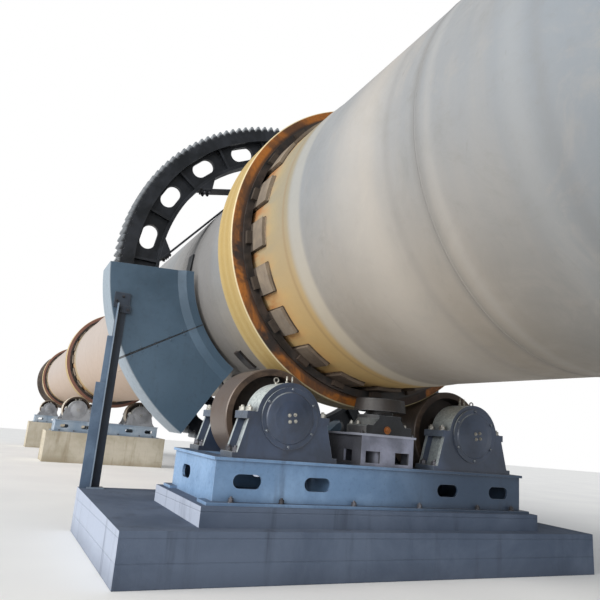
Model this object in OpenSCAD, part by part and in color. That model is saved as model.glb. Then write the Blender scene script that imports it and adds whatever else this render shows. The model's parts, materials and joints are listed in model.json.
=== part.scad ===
// Rotary kiln on three support stations, turned by a girth gear.
// The kiln axis runs along X and climbs towards +X. Lengths along the kiln are
// measured on its axis from the middle of the first riding ring.

/* [Kiln shell] */
// Outside radius of the shell plate
shell_r = 1250; // [1150:5:1280]
// Thickness of the shell plate
shell_wall = 22; // [14:1:40]
// Extra plate thickness under each riding ring
station_extra = 12; // [6:1:20]
// Half length of the thicker plate, up to where it tapers
station_half = 905; // [700:5:1000]
// Length of the taper back to the plain plate
station_taper = 210; // [100:10:300]
// Thickness of the brick lining
lining_t = 180; // [120:5:230]
// Shell length past the first riding ring, at the discharge end
near_overhang = 5000; // [3500:100:6000]
// Distance between the first and second riding rings
span_1 = 14500; // [12000:100:15500]
// Distance between the second and third riding rings
span_2 = 11900; // [9000:100:13000]
// Shell length past the third riding ring, at the feed end
far_overhang = 4000; // [2500:100:5000]
// Climb of the kiln in percent
slope_percent = 2.5; // [1:0.5:3]
// Height of the kiln axis above the ground at the first riding ring
axis_height = 2750; // [2650:10:3200]

/* [Riding rings] */
// Thickness of a riding ring, from its bore to its running surface
tyre_t = 155.4; // [140:0.2:200]
// Width of a riding ring at its running surface
tyre_w = 350; // [280:10:420]
// Number of filler pads under each riding ring
pad_count = 21; // [15:1:24]
// Width of a pad round the shell
pad_w = 234; // [160:2:280]
// Thickness of a pad
pad_t = 32; // [20:1:45]
// How far a pad shows on each side of the riding ring
pad_reach = 300; // [200:10:380]
// Height of the stop rings beside each riding ring
stop_h = 62; // [40:2:70]
// Thickness of the stop rings
stop_t = 28; // [16:1:40]
// Width of the block on each pad that holds a stop ring
stop_block_w = 105; // [60:5:150]
// Length of the stop blocks along the kiln
stop_block_l = 42; // [30:2:60]

/* [Support rollers] */
// Radius of a support roller
roller_r = 400; // [340:5:440]
// Width of a support roller
roller_w = 400; // [380:5:440]
// Angle of the rollers from straight below the kiln axis
roller_angle = 30; // [27:1:33]
// Radius of a roller shaft
roller_shaft_r = 90; // [70:2:110]
// Thickness of a roller's rim
roller_rim = 56; // [40:2:80]
// Depth of the recess in a roller's face
roller_recess = 125; // [60:5:150]

/* [Roller bearings] */
// Height of the shaft above the foot of a bearing housing
bearing_h = 317; // [300:1:340]
// Length of a bearing housing along the shaft
bearing_w = 260; // [200:5:280]
// Half length of a bearing housing's foot
bearing_foot = 440; // [400:5:460]
// Radius of a bearing housing's cap
bearing_cap_r = 272; // [240:2:290]
// Radius of a bearing's end cover
cover_r = 236; // [180:2:238]
// How far the middle of an end cover bulges out
cover_bulge = 52; // [30:2:70]

/* [Base frames] */
// How far a base frame reaches past the feet of its outer bearings
frame_end = 114.8; // [60:0.2:200]
// Width of a base frame, along the kiln
frame_w = 1100; // [1080:10:1300]
// Height of a base frame
frame_h = 330; // [280:10:380]
// Plate thickness of a base frame
frame_t = 22; // [14:1:30]
// Length of the slots in a base frame's sides
slot_l = 228; // [160:4:260]
// Height of the slots in a base frame's sides
slot_h = 102; // [60:2:130]
// Distance of the outer slots from the ends of a base frame
slot_end = 258; // [180:2:300]
// Distance of the inner slots from the roller shafts
slot_inner = 285.2; // [240:0.2:340]
// How far a base frame's top plate stands out past its sides
frame_lip = 18; // [8:1:30]
// How far a base frame's foot plates stand out past its sides
frame_foot = 60; // [40:5:80]

/* [Thrust roller] */
// Radius of the thrust roller at the edge of the riding ring
thrust_r = 220; // [180:5:240]
// Radius of the thrust roller's shaft
thrust_shaft_r = 62; // [50:2:80]
// Radius of the flange of the thrust roller's bearing
thrust_flange_r = 275; // [240:5:280]
// Radius of that bearing's neck, under the roller
thrust_neck_r = 188; // [150:2:200]
// Length of the thrust roller's stand, along the kiln
stand_l = 680; // [600:10:720]
// Width of the thrust roller's stand, across the kiln
stand_w = 520; // [440:10:600]
// Height of the thrust roller's stand, with its top plate
stand_h = 256; // [220:2:280]

/* [Girth gear] */
// Number of teeth of the girth gear
gear_teeth = 148; // [140:2:156]
// Number of teeth of the pinion
pinion_teeth = 21; // [19:1:23]
// Module of the teeth
tooth_module = 28; // [27:0.5:29]
// Thickness taken off each tooth flank for backlash
tooth_thin = 1.2; // [0.6:0.1:2]
// Width of the girth gear
gear_w = 240; // [200:10:280]
// Middle of the girth gear, from the first riding ring
gear_x = 1795; // [1780:5:1900]
// Thickness of the gear's rim below the teeth
gear_rim = 126; // [90:2:140]
// Inner radius of the gear's web
web_in = 1624; // [1600:4:1660]
// Thickness of the gear's web
web_t = 50; // [30:2:80]
// Number of openings in the gear's web
web_holes = 20; // [16:2:22]
// Length of the web openings
hole_l = 290; // [160:5:310]
// Height of the web openings
hole_h = 174; // [100:2:180]
// Number of spring plates between gear and shell
spring_count = 10; // [8:1:12]
// Thickness of a spring plate
spring_t = 20; // [12:1:30]
// Width of a spring plate
spring_w = 170; // [100:10:200]
// Thickness of the bolted flanges where the gear's two halves meet
gear_joint_t = 84; // [60:2:100]

/* [Gear guard] */
// Gap between the tooth tips and the guard's outer sheet
guard_gap = 72; // [50:2:100]
// Gap between the shell and the guard's inner edge
guard_inner_gap = 45; // [25:5:80]
// Inside width of the guard
guard_w = 466; // [400:2:500]
// Sheet thickness of the guard
guard_t = 8; // [5:1:12]
// Width of the strip at the guard's inner edge, which stands proud of its front
guard_fold_w = 85; // [50:5:120]
// How far that strip stands proud
guard_fold_h = 34; // [20:2:50]
// Angle of the guard's top edge below the kiln's middle
guard_top_a = 3.5; // [1:0.5:8]
// Angle covered by one guard segment
guard_step_a = 26.5; // [20:0.5:30]

/* [Drive] */
// Angle of the pinion below the kiln's middle, on its hidden side
pinion_a = 50; // [46:1:54]
// Radius of the pinion shaft
pinion_shaft_r = 70; // [55:1:85]
// Height of the pinion's bearing stand
drive_stand_h = 300; // [240:10:320]
// Length of the gear reducer's case
reducer_l = 900; // [700:20:1000]
// Radius of the reducer's case round its large gear
reducer_r = 330; // [280:10:360]
// Radius of the reducer's case round its input shaft
reducer_small_r = 240; // [200:10:270]
// Radius of the motor's body
motor_r = 210; // [160:5:230]
// Length of the motor's body
motor_l = 720; // [500:20:800]
// How far the drive's part of the first pier reaches in from the pinion shaft
drive_strip = 620; // [400:20:700]

/* [Piers] */
// Height of the raised bed under the first base frame
bed_h = 137; // [60:1:160]
// Half width of the first pier, across the kiln
pier_1_half = 2140; // [2130:10:2170]
// Half width of the other piers, across the kiln
pier_half = 1700; // [1600:20:2000]
// Half length of the other piers, along the kiln
pier_half_l = 800; // [700:20:1100]

/* [Hidden] */
$fn = 96;

// Gap between pieces that sit on each other round the kiln
seat = 0.3;
// Angles of the first pad and the first spring plate, from +Y towards +Z
pad_first_a = 5.8;
spring_first_a = 4.8;
// Gap under pieces that stand on a pier or on a stand
rest = 0.02;
// Angle left open between two guard segments
guard_joint_a = 0.01;
// Radial clearance of a shaft in its bearing
run = 0.08;
// Gap between rolling surfaces
roll_gap = 0.4;
slope = atan(slope_percent / 100);
tyre_x = [0, span_1, span_1 + span_2];
near_x = -near_overhang;
far_x = span_1 + span_2 + far_overhang;
shell_in = shell_r - shell_wall;
station_r = shell_r + station_extra;
pad_out = station_r + seat + pad_t;
tyre_in = pad_out + seat;
tyre_r = tyre_in + tyre_t;
// The sides of a riding ring lean so that the thrust roller rolls on them truly
side_lean = thrust_r / tyre_r;
tyre_half_in = tyre_w / 2 + (tyre_r - tyre_in) * side_lean;
pad_half = tyre_w / 2 + pad_reach;
stop_out = pad_out + seat + stop_h;
near_ring_r = shell_r + 40;
far_ring_r = shell_r * 1.2;
ring_l = 120;

roller_d = tyre_r + roller_r + roll_gap;
roller_y = roller_d * sin(roller_angle);
roller_z = -roller_d * cos(roller_angle);
frame_l = 2 * (roller_y + bearing_foot + frame_end);
bearing_out = frame_w / 2 - 5;
bearing_in = bearing_out - bearing_w;
cover_t = 14;
bore_end = 12;
frame_top = roller_z - bearing_h;
frame_bottom = frame_top - frame_h;
pier_1_top = frame_bottom - bed_h;
foot_w = 220;
end_slot_x = 170;
slot_out_y = frame_l / 2 - slot_end;
slot_in_y = roller_y - slot_inner;
well_half_x = roller_w / 2 + 34;
well_half_y = roller_r + 26;

thrust_x = -tyre_w / 2 - thrust_r - roll_gap;
thrust_top = -(stop_out + 12);
thrust_low = -(tyre_r + 20);
stand_top = frame_top + stand_h;
stand_plate = 18;
stand_x0 = -frame_w / 2 + 5;

gear_pitch_r = tooth_module * gear_teeth / 2;
gear_tip_r = gear_pitch_r + tooth_module;
gear_root_r = gear_pitch_r - 1.25 * tooth_module;
rim_in = gear_root_r - gear_rim;
pinion_pitch_r = tooth_module * pinion_teeth / 2;
centre_d = gear_pitch_r + pinion_pitch_r;
// Direction of the pinion as seen along the kiln, from +Y towards +Z
pinion_dir = -180 + pinion_a;
pinion_y = centre_d * cos(pinion_dir);
pinion_z = centre_d * sin(pinion_dir);
web_hole_r = (rim_in + web_in) / 2 + 32;

spring_in = shell_r + seat;
spring_out = spring_in + spring_t;
spring_reach = sqrt(web_in * web_in - spring_out * spring_out);

guard_out = gear_tip_r + guard_gap + guard_t;
guard_lower_a = -guard_top_a - 2 * guard_step_a - guard_joint_a;
guard_in = shell_r + guard_inner_gap;
guard_x0 = gear_x - guard_w / 2 - 90;
guard_x1 = guard_x0 + guard_w + 2 * guard_t;

block_w = 200;
block_gap = 90;
block_h = pinion_z - pier_1_top - drive_stand_h - rest;
block_x0 = gear_x - gear_w / 2 - block_gap - block_w;
block_x1 = gear_x + gear_w / 2 + block_gap;
coupling_x = block_x1 + block_w + 70;
coupling_l = 300;
reducer_x = coupling_x + coupling_l + 60;
motor_gap = 260;
motor_x = reducer_x + reducer_l + motor_gap;
motor_y = pinion_y - 330;
motor_z = pinion_z;

pier_1_near = -frame_w / 2 - 250;
pier_1_far = guard_x0 + 30;
drive_far = motor_x + motor_l + 250;
drive_inner_y = pinion_y + drive_strip;

middle_x = ((far_x + near_x) * cos(slope) + (far_ring_r - near_ring_r) * sin(slope)) / 2;
shift_x = -round(middle_x * 10) / 10;

// Places its children in the kiln's own sloping frame
module sloped() {
    translate([shift_x, 0, axis_height]) rotate([0, -slope, 0]) children();
}

// Turns a drawing of the section across the kiln to stand at x, drawn towards +X
module across(x) {
    translate([x, 0, 0]) rotate([90, 0, 90]) children();
}

// Revolves a profile of [radius, distance along the kiln] about the kiln axis
module turned(profile) {
    sloped() across(0) rotate_extrude() polygon(profile);
}

module ring(r_in, r_out, x0, x1) {
    turned([[r_in, x0], [r_out, x0], [r_out, x1], [r_in, x1]]);
}

// Outline of a slot with round ends, lying along X
module slot_outline(l, h) {
    square([l - h, h], center = true);
    for (s = [-1, 1]) translate([s * (l - h) / 2, 0]) circle(d = h);
}

// A box given by its lowest and highest corners
module box(low, high) {
    translate(low) cube(high - low);
}

// Outside of the shell plate, thicker under each riding ring
function station_outline(x) = [
    [shell_r, x - station_half - station_taper],
    [station_r, x - station_half],
    [station_r, x + station_half],
    [shell_r, x + station_half + station_taper],
];

module shell() {
    outside = [for (x = tyre_x) each station_outline(x)];
    color("gainsboro") turned(concat(
        [[shell_in, near_x], [shell_r, near_x]],
        outside,
        [[shell_r, far_x], [shell_in, far_x]]
    ));
}

module brick_lining() {
    color("rosybrown") ring(shell_in - seat - lining_t, shell_in - seat, near_x + 40, far_x - 40);
}

module discharge_end_ring() {
    color("dimgray") ring(shell_r + seat, near_ring_r, near_x, near_x + ring_l);
}

// Seal ring with a thin flange and a collar on the shell
module feed_end_ring() {
    color("dimgray") turned([
        [shell_r + seat, far_x - ring_l],
        [shell_r + 60, far_x - ring_l],
        [shell_r + 60, far_x - 40],
        [far_ring_r, far_x - 40],
        [far_ring_r, far_x],
        [shell_r + seat, far_x],
    ]);
}

module tyre(i) {
    edge = 10;
    color("tan") turned([
        [tyre_in, tyre_x[i] - tyre_half_in],
        [tyre_r - edge, tyre_x[i] - tyre_w / 2 - edge * side_lean],
        [tyre_r, tyre_x[i] - tyre_w / 2 + edge],
        [tyre_r, tyre_x[i] + tyre_w / 2 - edge],
        [tyre_r - edge, tyre_x[i] + tyre_w / 2 + edge * side_lean],
        [tyre_in, tyre_x[i] + tyre_half_in],
    ]);
}

// Pads round the shell, each with a block on both sides to hold the stop rings
module tyre_pads(i) {
    pad_a = pad_w / station_r * 180 / PI;
    block_a = stop_block_w / pad_out * 180 / PI;
    block_x = tyre_half_in + stop_t + 2 * seat;
    block_h = stop_h * 0.75;
    color("darkgray") sloped() across(tyre_x[i]) for (k = [0 : pad_count - 1])
        rotate([0, 0, k * 360 / pad_count + pad_first_a]) {
            rotate_extrude(angle = pad_a)
                translate([station_r + seat, -pad_half]) square([pad_t, 2 * pad_half]);
            rotate([0, 0, (pad_a - block_a) / 2]) rotate_extrude(angle = block_a)
                for (x = [-block_x - stop_block_l, block_x])
                    translate([pad_out - 1, x]) square([block_h + 1, stop_block_l]);
        }
}

module stop_rings(i) {
    for (s = [-1, 1]) {
        x0 = tyre_x[i] + s * (tyre_half_in + seat);
        x1 = x0 + s * stop_t;
        color("darkslategray") ring(pad_out + seat, stop_out, min(x0, x1), max(x0, x1));
    }
}

// Involute function, in degrees
function inv(a) = tan(a) * 180 / PI - a;

// Half angle that a tooth takes up at radius r
function half_tooth(r, teeth) =
    let (pitch_r = tooth_module * teeth / 2, base_r = pitch_r * cos(20))
    90 / teeth - tooth_thin / pitch_r * 180 / PI + inv(20)
        - (r > base_r ? inv(acos(base_r / r)) : 0);

// Outline of a toothed wheel, with a tooth centred on the X axis
function tooth_outline(teeth) =
    let (
        pitch_r = tooth_module * teeth / 2,
        root_r = pitch_r - 1.25 * tooth_module,
        low_r = max(pitch_r * cos(20) + 0.5, root_r + 0.3 * tooth_module),
        radii = [root_r, low_r, pitch_r, pitch_r + tooth_module]
    )
    [for (i = [0 : teeth - 1]) each concat(
        [for (j = [0 : 3]) point_at(radii[j], i * 360 / teeth - half_tooth(radii[j], teeth))],
        [for (j = [3 : -1 : 0]) point_at(radii[j], i * 360 / teeth + half_tooth(radii[j], teeth))]
    )];

function point_at(r, a) = [r * cos(a), r * sin(a)];

// Ring of the given radii, drawn flat
module annulus(r_in, r_out) {
    difference() {
        circle(r_out);
        circle(r_in);
    }
}

module web_openings() {
    for (k = [0 : web_holes - 1])
        rotate(k * 360 / web_holes + 9.8)
            translate([web_hole_r, 0]) rotate(90) slot_outline(hole_l, hole_h);
}

// Turns a drawing round the kiln once for each spring plate
module each_spring() {
    across(gear_x - spring_w / 2) linear_extrude(spring_w) for (k = [0 : spring_count - 1])
        rotate(k * 360 / spring_count + spring_first_a) children();
}

// Lug on the gear's inner edge that a spring plate bolts to
module spring_lug() {
    lug_x = spring_out + seat;
    polygon([
        [lug_x, 150 - spring_reach],
        [lug_x, -sqrt(pow(web_in + 10, 2) - lug_x * lug_x)],
        [lug_x + 150, -sqrt(pow(web_in + 10, 2) - pow(lug_x + 150, 2))],
    ]);
}

// Rib between two web openings, thicker where the gear's halves are bolted together
function rib_thickness(k) = k % (web_holes / 2) == web_holes / 2 - 2 ? gear_joint_t : 24;

module girth_gear() {
    color("dimgray") sloped() {
        across(gear_x - gear_w / 2) linear_extrude(gear_w) difference() {
            rotate(pinion_dir) polygon(tooth_outline(gear_teeth));
            circle(rim_in);
        }
        across(gear_x - web_t / 2) linear_extrude(web_t) difference() {
            annulus(web_in, rim_in + 5);
            web_openings();
        }
        across(gear_x - gear_w / 3) linear_extrude(gear_w * 2 / 3) annulus(web_in, web_in + 36);
        across(gear_x - gear_w / 3) linear_extrude(gear_w * 2 / 3) for (k = [0 : web_holes - 1])
            rotate((k + 0.5) * 360 / web_holes + 9.8)
                translate([web_in + 20, -rib_thickness(k) / 2])
                    square([rim_in - web_in - 15, rib_thickness(k)]);
        each_spring() spring_lug();
    }
}

// Each spring plate lies against the shell at one end and reaches the gear's web at the other
module spring_plates() {
    color("dimgray") sloped() each_spring()
        translate([spring_in, 30 - spring_reach]) square([spring_t, spring_reach + 60]);
}

// Support roller with recessed faces and its shaft, at its own axis
module roller(i, side) {
    half = roller_w / 2;
    hub_r = roller_shaft_r + 70;
    shaft_end = bearing_out - bore_end - 8;
    color("silver") sloped() translate([0, side * roller_y, roller_z]) across(tyre_x[i])
        rotate_extrude() polygon(concat(
            roller_half_profile(1, half, hub_r, shaft_end),
            reverse(roller_half_profile(-1, half, hub_r, shaft_end))
        ));
}

// Half of a roller's profile, from the shaft's end to the running surface
function roller_half_profile(s, half, hub_r, shaft_end) = [
    [0, s * shaft_end],
    [roller_shaft_r, s * shaft_end],
    [roller_shaft_r, s * (half + 10)],
    [hub_r, s * (half + 10)],
    [hub_r + 12, s * (half - roller_recess)],
    [roller_r - roller_rim - 12, s * (half - roller_recess)],
    [roller_r - roller_rim, s * half],
    [roller_r - 8, s * half],
    [roller_r, s * (half - 8)],
];

function reverse(list) = [for (i = [len(list) - 1 : -1 : 0]) list[i]];

// Bearing housing seen along its shaft: split pedestal block with side ribs
module housing_core(h, foot, cap_r) {
    neck = cap_r - 4;
    polygon([[-foot + 90, -h], [foot - 90, -h], [neck, 0], [-neck, 0]]);
    circle(cap_r);
    translate([-foot, -h]) square([2 * foot, h * 0.12]);
}

module housing_rib(h, foot, cap_r) {
    ear = cap_r + 62;
    polygon([[-foot + 30, -h], [foot - 30, -h], [ear, -28], [-ear, -28]]);
}

module housing_ears(cap_r) {
    ear = cap_r + 80;
    translate([-ear, -28]) square([2 * ear, 56]);
}

// Housing from x0 to x0 + w, open towards open_side for its shaft
module housing(x0, w, h, foot, cap_r, bore_r, open_side) {
    rib_t = w * 0.13;
    bore_x = open_side > 0 ? x0 + bore_end : x0 - 1;
    difference() {
        union() {
            across(x0) linear_extrude(w) housing_core(h, foot, cap_r);
            for (x = [x0, x0 + w - rib_t])
                across(x) linear_extrude(rib_t) housing_rib(h, foot, cap_r);
            across(x0) linear_extrude(w) housing_ears(cap_r);
        }
        across(bore_x) cylinder(r = bore_r, h = w - bore_end + 1);
    }
}

module roller_bearings(i) {
    color("slategray") sloped() translate([tyre_x[i], 0, roller_z])
        for (side = [-1, 1]) translate([0, side * roller_y, 0]) {
            housing(-bearing_out, bearing_w, bearing_h, bearing_foot, bearing_cap_r,
                roller_shaft_r + run, 1);
            housing(bearing_in, bearing_w, bearing_h, bearing_foot, bearing_cap_r,
                roller_shaft_r + run, -1);
        }
}

// Coned end cover with a flat rim, drawn with its flat back at zero
module cover() {
    rotate_extrude() polygon([
        [0, 0], [cover_r, 0], [cover_r, cover_t], [cover_r - 36, cover_t],
        [cover_r - 44, cover_t + 7], [cover_r * 0.56, cover_bulge * 0.74], [cover_r * 0.2, cover_bulge],
        [0, cover_bulge],
    ]);
}

module bearing_covers(i) {
    color("slategray") sloped() translate([tyre_x[i], 0, roller_z])
        for (side = [-1, 1]) translate([0, side * roller_y, 0]) {
            translate([-bearing_out, 0, 0]) rotate([0, -90, 0]) cover();
            translate([bearing_out, 0, 0]) rotate([0, 90, 0]) cover();
        }
}

module frame_slots() {
    for (y = [-slot_out_y, -slot_in_y, slot_in_y, slot_out_y])
        translate([y, frame_bottom + frame_h / 2]) slot_outline(slot_l, slot_h);
}

// Welded base frame: two slotted side plates, ends, cross plates and a top plate
module base_frame(i) {
    half_x = frame_w / 2;
    half_y = frame_l / 2;
    color("steelblue") sloped() translate([tyre_x[i], 0, 0]) {
        for (x = [-half_x, half_x - frame_t])
            across(x) linear_extrude(frame_t) difference() {
                translate([-half_y, frame_bottom]) square([frame_l, frame_h]);
                frame_slots();
            }
        for (y = [-roller_y + well_half_y, roller_y - well_half_y - frame_t])
            box([-half_x, y, frame_bottom], [half_x, y + frame_t, frame_top]);
        for (y = [-half_y, half_y - frame_t]) difference() {
            box([-half_x, y, frame_bottom], [half_x, y + frame_t, frame_top]);
            translate([end_slot_x, y + frame_t + 1, frame_bottom + frame_h / 2]) rotate([90, 0, 0])
                linear_extrude(frame_t + 2) slot_outline(slot_l, slot_h);
        }
        difference() {
            box([-half_x - frame_lip, -half_y - frame_lip, frame_top - frame_t],
                [half_x + frame_lip, half_y + frame_lip, frame_top]);
            for (s = [-1, 1])
                box([-well_half_x, s * roller_y - well_half_y, frame_top - frame_t - 1],
                    [well_half_x, s * roller_y + well_half_y, frame_top + 1]);
        }
        for (x = [-half_x - frame_foot, half_x + frame_foot - foot_w])
            box([x, -half_y - frame_foot, frame_bottom],
                [x + foot_w, half_y + frame_foot, frame_bottom + frame_t]);
    }
}

module thrust_roller() {
    hub_low = thrust_low - 24;
    color("gray") sloped() translate([thrust_x, 0, 0]) rotate_extrude() polygon([
        [0, stand_top - 90],
        [thrust_shaft_r, stand_top - 90],
        [thrust_shaft_r, hub_low],
        [thrust_shaft_r + 48, hub_low],
        [thrust_shaft_r + 48, thrust_low],
        [-thrust_low * side_lean, thrust_low],
        [-thrust_top * side_lean, thrust_top],
        [thrust_r * 0.62, thrust_top],
        [thrust_r * 0.56, thrust_top - 22],
        [0, thrust_top - 22],
    ]);
}

// Slotted box with a top plate and the thrust roller's bearing housing on it
module thrust_stand() {
    wall = 20;
    x1 = stand_x0 + stand_l;
    color("slategray") sloped() difference() {
        union() {
            difference() {
                box([stand_x0, -stand_w / 2, frame_top], [x1, stand_w / 2, stand_top]);
                box([stand_x0 + wall, wall - stand_w / 2, frame_top - 1],
                    [x1 - wall, stand_w / 2 - wall, stand_top - stand_plate]);
                for (y = [-145, 145])
                    box([stand_x0 - 1, y - 70, frame_top + 24], [x1 + 1, y + 70, frame_top + 118]);
                for (x = [stand_x0 + 140, x1 - 190])
                    box([x, -stand_w / 2 - 1, frame_top + 24], [x + 130, stand_w / 2 + 1, frame_top + 118]);
            }
            box([stand_x0 - 5, -stand_w / 2 - 22, stand_top - stand_plate],
                [x1 + 22, stand_w / 2 + 22, stand_top]);
            translate([thrust_x, 0, frame_top]) cylinder(r = 112, h = stand_h);
            thrust_housing();
        }
        translate([thrust_x, 0, stand_top - 95]) cylinder(r = thrust_shaft_r + run, h = 600);
    }
}

// Flanged and coned bearing housing, cut flat in line with the stand's front
module thrust_housing() {
    hub_h = thrust_low - 34 - stand_top;
    flange_h = 74;
    neck_z = 118;
    intersection() {
        translate([thrust_x, 0, stand_top]) rotate_extrude() polygon([
            [0, -1], [thrust_flange_r, -1], [thrust_flange_r, flange_h - 12],
            [thrust_flange_r - 12, flange_h], [thrust_neck_r + 34, flange_h],
            [thrust_neck_r + 8, neck_z], [thrust_neck_r, neck_z + 12], [thrust_neck_r, hub_h], [0, hub_h],
        ]);
        box([stand_x0 - 5, -stand_w, stand_top - 1], [0, stand_w, 0]);
    }
}

// Guard segment: a channel of sheet that wraps round the gear
module guard_segment(start_a) {
    fold_x = guard_x0 - guard_fold_h;
    fold_r = guard_in + guard_fold_w;
    flat_r = fold_r + guard_fold_w;
    color("steelblue") sloped() across(0) rotate([0, 0, start_a]) rotate_extrude(angle = guard_step_a)
        polygon([
            [guard_in, fold_x], [fold_r, fold_x], [flat_r, guard_x0],
            [guard_out, guard_x0], [guard_out, guard_x1],
            [guard_in, guard_x1], [guard_in, guard_x1 - guard_t],
            [guard_out - guard_t, guard_x1 - guard_t], [guard_out - guard_t, guard_x0 + guard_t],
            [flat_r - guard_t / 2, guard_x0 + guard_t], [fold_r - guard_t / 2, fold_x + guard_t],
            [guard_in, fold_x + guard_t],
        ]);
}

// Angle-iron post on the pier beside the guard, with two flats lapped on it and a clip
module guard_post(side) {
    leg = 100;
    leg_t = 10;
    post_top = -guard_out * 0.262;
    post_y = guard_out * 0.915;
    lap_top = -guard_out * 0.42;
    low_top = -guard_out * 0.635;
    translate([guard_x0 - seat, side * post_y, 0]) {
        box([-leg_t, -leg / 2, pier_1_top], [0, leg / 2, post_top]);
        box([-leg, side * leg / 2 - (side > 0 ? leg_t : 0), pier_1_top],
            [0, side * leg / 2 + (side > 0 ? 0 : leg_t), post_top]);
        box([-leg - 20, -leg / 2 - 30, pier_1_top], [0, leg / 2 + 30, pier_1_top + 12]);
        outward(side) {
            box([-leg * 0.8, leg / 2, pier_1_top], [-leg * 0.8 + leg_t, leg / 2 + 55, lap_top]);
            box([-leg * 0.8, leg / 2 - 1, pier_1_top], [-leg * 0.2, leg / 2 + leg_t, lap_top]);
            box([-leg * 0.8 - leg_t, leg / 2, pier_1_top], [-leg * 0.8 + 1, leg / 2 + 95, low_top]);
            box([-leg_t - 14, -70, post_top - 30], [0, 85, post_top + 125]);
            box([-leg_t - 26, -85, post_top - 85], [-leg_t + 1, 15, post_top - 10]);
        }
    }
}

// Mirrors its children so that +Y points away from the kiln on either side
module outward(side) {
    mirror([0, side > 0 ? 0 : 1, 0]) children();
}

module guard_posts() {
    color("gray") sloped() for (side = [-1, 1]) guard_post(side);
}

module pinion() {
    tip_x = gear_w / 2 + 10;
    shaft_x0 = block_x0 + bore_end + 8 - gear_x;
    shaft_x1 = reducer_x + 150 - gear_x;
    hub_r = pinion_shaft_r + 75;
    color("dimgray") sloped() translate([gear_x, pinion_y, pinion_z]) {
        across(-tip_x) linear_extrude(2 * tip_x)
            rotate(pinion_dir + 180 + 180 / pinion_teeth) polygon(tooth_outline(pinion_teeth));
        across(shaft_x0) cylinder(r = pinion_shaft_r, h = shaft_x1 - shaft_x0);
        across(coupling_x - gear_x) cylinder(r = hub_r, h = coupling_l);
        across(coupling_x - gear_x + coupling_l / 2 - 35) cylinder(r = hub_r + 60, h = 70);
    }
}

module pinion_bearings() {
    foot = 300;
    cap_r = 185;
    color("slategray") sloped() translate([0, pinion_y, pinion_z]) {
        housing(block_x0, block_w, block_h, foot, cap_r, pinion_shaft_r + run, 1);
        difference() {
            housing(block_x1, block_w, block_h, foot, cap_r, pinion_shaft_r + run, -1);
            across(block_x1 - 1) cylinder(r = pinion_shaft_r + run, h = block_w + 2);
        }
    }
}

// Welded stand under the pinion's two bearings
module pinion_stand() {
    half = 330;
    top = pier_1_top + drive_stand_h;
    x0 = block_x0 - 20;
    x1 = block_x1 + block_w + 20;
    well_x0 = block_x0 + block_w + 30;
    well_x1 = block_x1 - 30;
    color("steelblue") sloped() translate([0, pinion_y, 0]) difference() {
        box([x0, -half, pier_1_top], [x1, half, top]);
        box([x0 + frame_t, frame_t - half, pier_1_top - 1], [x1 - frame_t, half - frame_t, top - frame_t]);
        box([well_x0, frame_t - half, top - frame_t - 1], [well_x1, half - frame_t, top + 1]);
    }
}

// Outline of the reducer's case, seen along the kiln, from its foot to its rounded top
module reducer_outline() {
    foot_z = pier_1_top + rest - pinion_z;
    shaft_y = motor_y - pinion_y;
    lean = (reducer_r - reducer_small_r) / abs(shaft_y);
    up = sqrt(1 - lean * lean);
    circle(reducer_r);
    translate([shaft_y, 0]) circle(reducer_small_r);
    polygon([
        [shaft_y - reducer_small_r, foot_z + 30],
        [reducer_r, foot_z + 30],
        [reducer_r, 0],
        [shaft_y - reducer_small_r, 0],
    ]);
    polygon([
        [-lean * reducer_r, 0],
        [-lean * reducer_r, up * reducer_r],
        [shaft_y - lean * reducer_small_r, up * reducer_small_r],
        [shaft_y - lean * reducer_small_r, 0],
    ]);
}

// Parallel-shaft reducer in a closed split case
module gear_reducer() {
    x1 = reducer_x + reducer_l;
    low_y = motor_y - pinion_y - reducer_small_r - 40;
    high_y = reducer_r + 50;
    split_t = 46;
    rib_t = 30;
    foot_z = pier_1_top + rest - pinion_z;
    color("steelblue") sloped() translate([0, pinion_y, pinion_z]) difference() {
        union() {
            across(reducer_x) linear_extrude(reducer_l) reducer_outline();
            box([reducer_x - 30, low_y, -split_t / 2], [x1 + 30, high_y, split_t / 2]);
            box([reducer_x - 40, low_y, foot_z], [x1 + 40, high_y, foot_z + 44]);
            for (x = [0.15, 0.5, 0.85] * reducer_l)
                box([reducer_x + x - rib_t / 2, low_y + 15, foot_z + 20],
                    [reducer_x + x + rib_t / 2, high_y - 15, 0]);
            across(reducer_x - 25) cylinder(r = 150, h = 40);
            translate([0, motor_y - pinion_y, motor_z - pinion_z]) across(x1 - 5)
                cylinder(r = 110, h = motor_gap + 5);
            box([reducer_x + reducer_l * 0.3, -230, reducer_r - 130],
                [reducer_x + reducer_l * 0.7, 60, reducer_r + 22]);
        }
        across(reducer_x - 30) cylinder(r = pinion_shaft_r + run, h = 200);
    }
}

module drive_motor() {
    color("steelblue") sloped() translate([motor_x, motor_y, motor_z]) {
        across(0) cylinder(r = motor_r, h = motor_l);
        across(motor_l) cylinder(r = motor_r - 12, h = 90);
        box([60, -motor_r, pier_1_top + rest - motor_z], [motor_l - 60, motor_r, -motor_r * 0.75]);
        box([180, -110, motor_r - 30], [420, 110, motor_r + 110]);
    }
}

// Everything below the sloping plane at height z of the kiln's own frame
module below(z, near, far, half) {
    sloped() box([near - 400, -half - 10, z - 4000], [far + 400, half + 10, z]);
}

// Pier with plumb sides and a sloping top, from ground level up
module pier_block(near, far, low_y, high_y, top) {
    intersection() {
        translate([shift_x, 0, 0]) box([near, low_y, 0], [far, high_y, 6000]);
        below(top, near, far, max(high_y, -low_y));
    }
}

// Shifts a place on the pier tops from the kiln's frame to the level ground
function level_x(x, z) = x * cos(slope) - z * sin(slope);

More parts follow.
